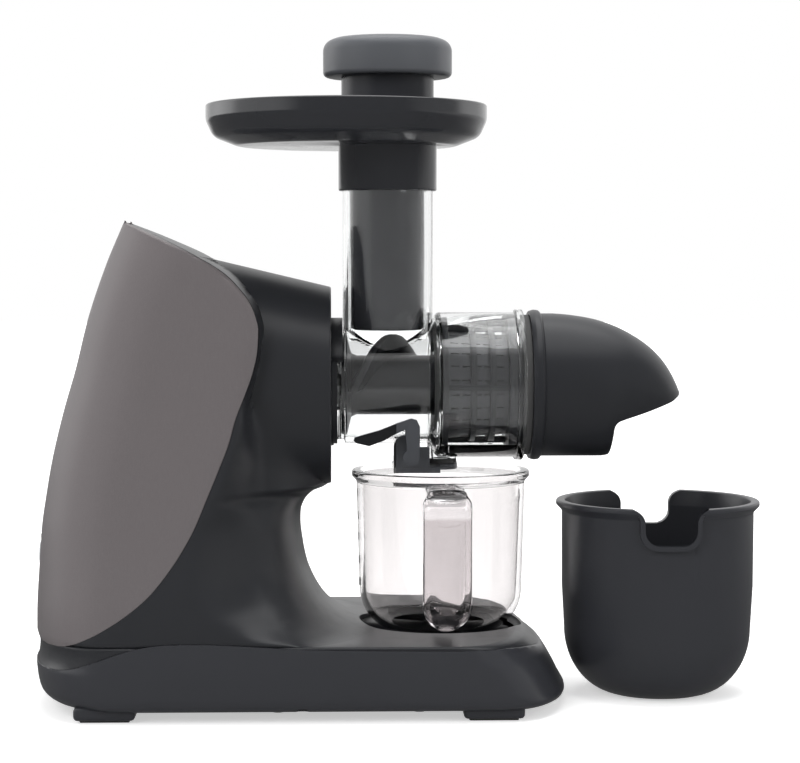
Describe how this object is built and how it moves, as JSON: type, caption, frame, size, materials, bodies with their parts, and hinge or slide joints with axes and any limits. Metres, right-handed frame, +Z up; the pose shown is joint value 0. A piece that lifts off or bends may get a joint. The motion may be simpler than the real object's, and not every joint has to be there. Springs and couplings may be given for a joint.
{
  "type": "cold press juicer",
  "caption": "Horizontal cold press juicer: leaning motor tower on a long base, clear auger bowl with feed chute and tray, pulp hood, juice jug under the nozzle and pulp cup",
  "frame": {"origin": "centre of the bounding box in plan, on the floor plane the pads stand on", "axes": "+X from the motor end to the pulp end, +Y from the front (jug handle) to the back, +Z up"},
  "size_m": [0.3983, 0.1758, 0.3613],
  "materials": {
    "housing": "satin",
    "base": "satin",
    "panel": "satin metallic",
    "dark": "matte",
    "gloss_dark": "gloss",
    "clear": "clear gloss",
    "rubber": "matte",
    "steel": "brushed",
    "ferrite": "matte",
    "copper": "lacquered",
    "gear_plastic": "natural",
    "carbon": "matte",
    "board": "lacquered",
    "button": "satin",
    "lens": "diffuse"
  },
  "bodies": {
    "machine": {"main_housing": "housing", "lower_base": "base", "side_panel": "panel", "bottom_plate": "base", "foot_pads": "rubber", "base_screws": "steel", "lock_ring": "dark", "shaft_seal": "rubber", "motor_can": "steel", "motor_magnets": "ferrite", "motor_end_plate": "steel", "motor_bearings": "steel", "brush_holders": "dark", "carbon_brushes": "carbon", "gearbox_case": "dark", "gearbox_cover": "dark", "gearbox_screws": "steel", "gear_bearings": "steel", "control_bezel": "gloss_dark", "control_board": "board", "indicator_lights": "lens", "button_springs": "steel", "power_board": "board", "inlet_gland": "rubber"},
    "start_key": {"start_button": "button"},
    "reverse_key": {"reverse_button": "button"},
    "rotor": {"motor_shaft": "steel", "rotor_core": "steel", "rotor_windings": "copper", "commutator": "copper", "cooling_fan": "dark", "motor_pinion": "steel"},
    "lay_train": {"layshaft": "steel", "layshaft_wheel": "gear_plastic", "layshaft_pinion": "steel"},
    "output_train": {"output_shaft": "steel", "output_wheel": "gear_plastic", "drive_coupling": "steel"},
    "bowl": {"juicing_bowl": "clear", "strainer_frame": "dark", "strainer_mesh": "steel", "strainer_seal": "rubber", "drip_stop_pin": "steel"},
    "auger": {"auger_screw": "dark", "auger_drive_shaft": "steel", "auger_nose_pin": "steel"},
    "hood": {"pulp_hood": "housing", "hood_seal": "rubber", "nose_bearing": "gear_plastic"},
    "tray": {"feed_tray": "gloss_dark"},
    "pusher": {"pusher_stem": "gloss_dark", "pusher_cap": "gloss_dark"},
    "drip_stop": {"drip_stop_lever": "gloss_dark", "drip_stop_plug": "rubber"},
    "jug": {"juice_jug": "clear"},
    "cup": {"pulp_cup": "housing"}
  },
  "joints": [
    {"name": "rotor_spin", "type": "hinge", "parent": "machine", "child": "rotor", "pos_m": [-0.14, 0, 0.09765], "axis": [1, 0, 0], "continuous": true},
    {"name": "layshaft_spin", "type": "hinge", "parent": "machine", "child": "lay_train", "pos_m": [-0.08, 0, 0.12765], "axis": [1, 0, 0], "continuous": true},
    {"name": "output_spin", "type": "hinge", "parent": "machine", "child": "output_train", "pos_m": [-0.07, 0, 0.1714], "axis": [1, 0, 0], "continuous": true},
    {"name": "start_press", "type": "slide", "parent": "machine", "child": "start_key", "axis": [1, 0, 0], "range_m": [0, 0.0012], "stiffness_N_per_m": 250, "springref_m": -0.0006},
    {"name": "reverse_press", "type": "slide", "parent": "machine", "child": "reverse_key", "axis": [1, 0, 0], "range_m": [0, 0.0012], "stiffness_N_per_m": 250, "springref_m": -0.0006},
    {"name": "bowl_draw", "type": "slide", "parent": "machine", "child": "bowl", "axis": [1, 0, 0], "range_m": [0, 0.11]},
    {"name": "auger_spin", "type": "hinge", "parent": "bowl", "child": "auger", "pos_m": [0, 0, 0.1714], "axis": [1, 0, 0], "continuous": true},
    {"name": "hood_draw", "type": "slide", "parent": "bowl", "child": "hood", "axis": [1, 0, 0], "range_m": [0, 0.08]},
    {"name": "tray_lift", "type": "slide", "parent": "bowl", "child": "tray", "axis": [0, 0, 1], "range_m": [0, 0.04]},
    {"name": "pusher_lift", "type": "slide", "parent": "tray", "child": "pusher", "axis": [0, 0, 1], "range_m": [0, 0.11]},
    {"name": "drip_stop_turn", "type": "hinge", "parent": "bowl", "child": "drip_stop", "pos_m": [0.005, 0, 0.1344], "axis": [0, 1, 0], "range_deg": [0, 40]},
    {"name": "jug_turn", "type": "hinge", "parent": "machine", "child": "jug", "pos_m": [0.0224, 0, 0.0346], "axis": [0, 0, 1], "range_deg": [-30, 30]},
    {"name": "cup_draw", "type": "slide", "parent": "machine", "child": "cup", "axis": [1, 0, 0], "range_m": [0, 0.12]}
  ],
  "couplings": [
    {"joint": "layshaft_spin", "follows": "rotor_spin", "ratio": -0.30435},
    {"joint": "output_spin", "follows": "rotor_spin", "ratio": 0.083004},
    {"joint": "auger_spin", "follows": "rotor_spin", "ratio": 0.083004}
  ]
}
